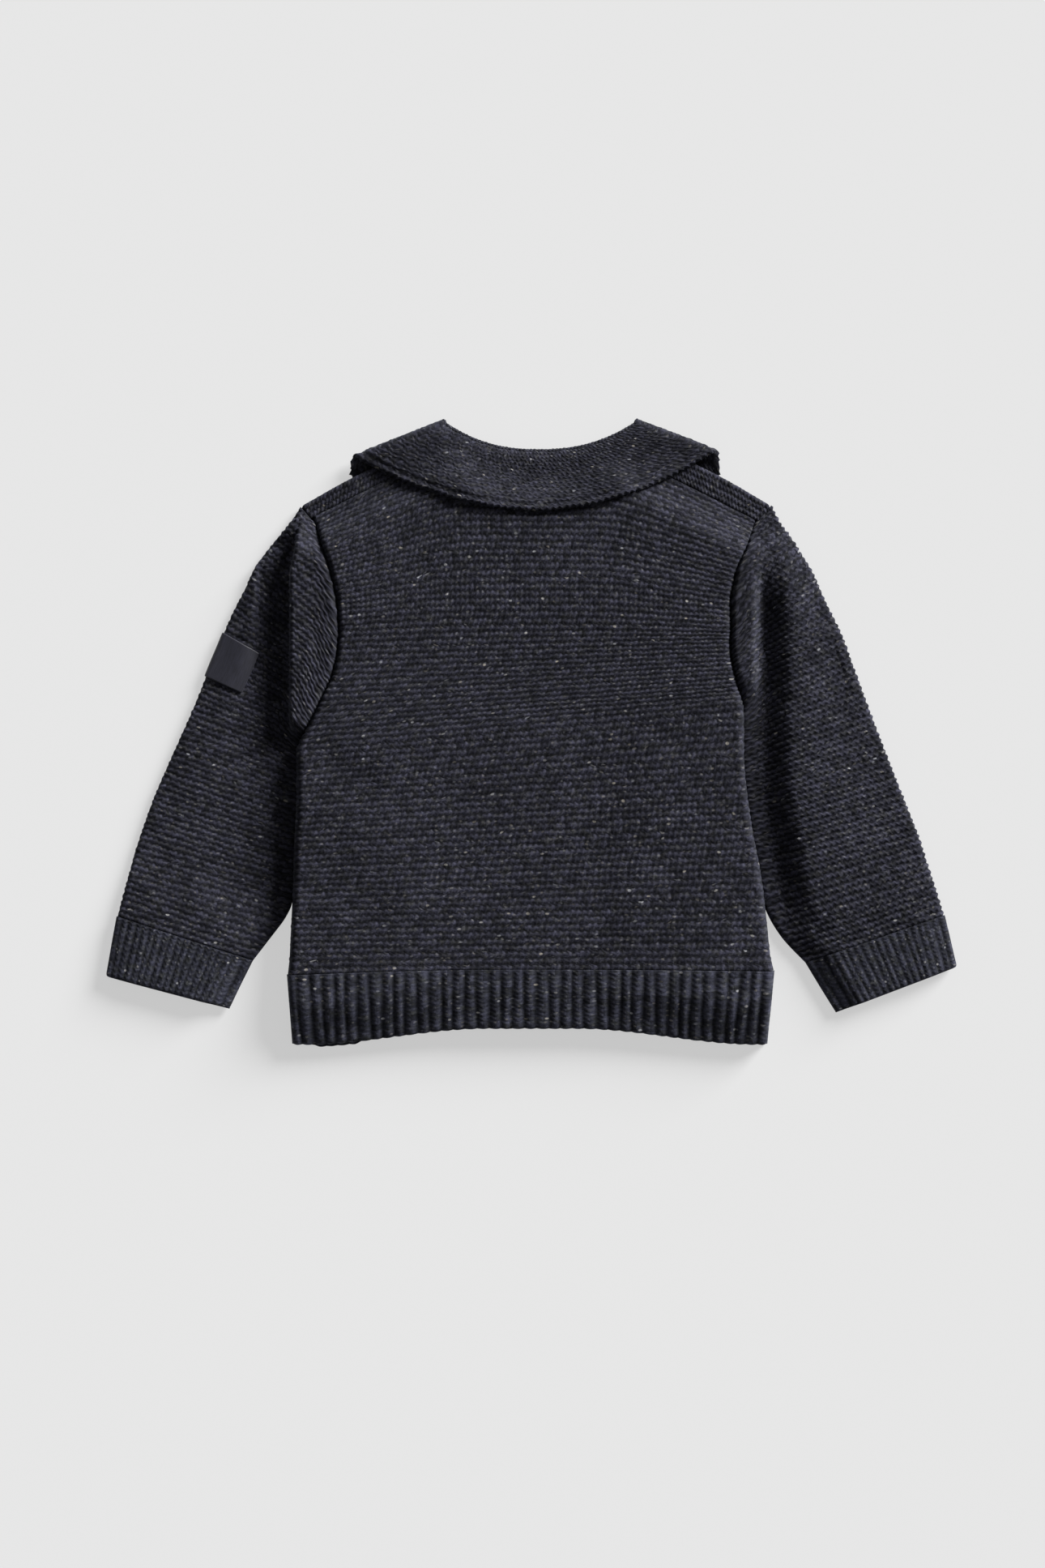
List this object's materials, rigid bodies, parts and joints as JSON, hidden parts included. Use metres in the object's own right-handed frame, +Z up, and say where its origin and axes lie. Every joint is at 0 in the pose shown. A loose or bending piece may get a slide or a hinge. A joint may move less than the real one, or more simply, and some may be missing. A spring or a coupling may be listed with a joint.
{
  "type": "baby cardigan",
  "caption": "Garter-knit baby cardigan with a shawl collar, set-in sleeves, ribbed hem and cuffs and a woven sleeve patch, laid face down and flat",
  "frame": {"origin": "middle of the bounding box, on the surface that the cardigan lies on", "axes": "X across the garment towards the wearer's right sleeve, Y from hem to collar, Z up from the surface, through the layers"},
  "size_m": [0.4734, 0.3488, 0.0092],
  "materials": {
    "garter_knit": "thick garter-knit yarn, dark navy and charcoal melange with sparse pale flecks",
    "rib_knit": "one by one rib in the same melange yarn",
    "collar_knit": "finer garter knit in the same melange yarn",
    "woven_label": "smooth dark satin weave, blank",
    "button_plastic": "dark moulded plastic"
  },
  "bodies": {
    "root": {"back_panel": "garter_knit", "front_left": "garter_knit", "front_right": "garter_knit", "sleeve_left": "garter_knit", "sleeve_right": "garter_knit", "cuff_left": "rib_knit", "cuff_right": "rib_knit", "hem_rib_back": "rib_knit", "hem_rib_front_left": "rib_knit", "hem_rib_front_right": "rib_knit", "collar": "collar_knit", "front_band_left": "collar_knit", "front_band_right": "collar_knit", "sleeve_label": "woven_label", "button_1": "button_plastic", "button_2": "button_plastic", "button_3": "button_plastic", "button_4": "button_plastic"}
  },
  "joints": []
}
